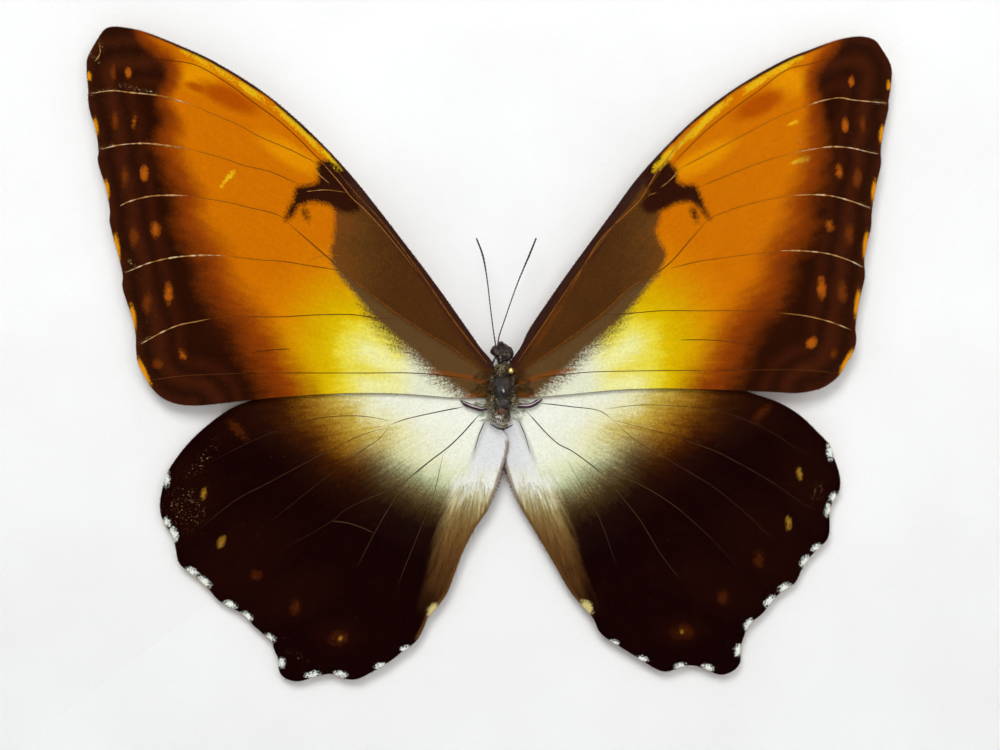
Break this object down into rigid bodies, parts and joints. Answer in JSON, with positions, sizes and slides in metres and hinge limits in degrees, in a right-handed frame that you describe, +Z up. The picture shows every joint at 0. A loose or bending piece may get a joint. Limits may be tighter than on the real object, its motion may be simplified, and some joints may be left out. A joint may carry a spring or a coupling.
{
  "type": "framed butterfly specimen",
  "caption": "Large orange, cream and black-brown butterfly, set with wings spread and pinned to a white board behind glass in a black wooden box frame.",
  "frame": {"origin": "middle of the frame's underside", "axes": "+X right, +Z up along the standing frame, -Y out of the glass"},
  "size_m": [0.272, 0.038, 0.221],
  "materials": {
    "black_wood": "satin black stain over straight grain",
    "glass": "clear, low reflection",
    "white_card": "matt white card facing",
    "white_board": "matt white paper over foam",
    "hardboard": "brown hardboard, smooth side out",
    "steel": "bright zinc plate",
    "pin_brass": "polished pale brass",
    "insect_body": "dark dry hide with short olive and cream hairs",
    "insect_limb": "thin dark brown horn",
    "forewing": "powdery scales, orange to cream with a dark brown edge",
    "hindwing": "powdery scales, cream at the base to near-black brown"
  },
  "bodies": {
    "root": {"rail_bottom": "black_wood", "rail_right": "black_wood", "rail_top": "black_wood", "rail_left": "black_wood", "tab_bottom_1": "steel", "tab_bottom_2": "steel", "tab_right_1": "steel", "tab_right_2": "steel", "tab_top_1": "steel", "tab_top_2": "steel", "tab_left_1": "steel", "tab_left_2": "steel", "spacer_top": "white_card", "spacer_bottom": "white_card", "spacer_right": "white_card", "spacer_left": "white_card", "glass": "glass", "backing_board": "white_board", "back_panel": "hardboard", "hanger": "steel", "hanger_rivet_left": "steel", "hanger_rivet_right": "steel", "thorax": "insect_body", "head": "insect_body", "antenna_left": "insect_limb", "antenna_right": "insect_limb", "leg_fore_left": "insect_limb", "leg_fore_right": "insect_limb", "leg_mid_left": "insect_limb", "leg_mid_right": "insect_limb", "leg_hind_left": "insect_limb", "leg_hind_right": "insect_limb", "forewing_left": "forewing", "forewing_right": "forewing", "hindwing_left": "hindwing", "hindwing_right": "hindwing", "pin": "pin_brass"}
  },
  "joints": []
}
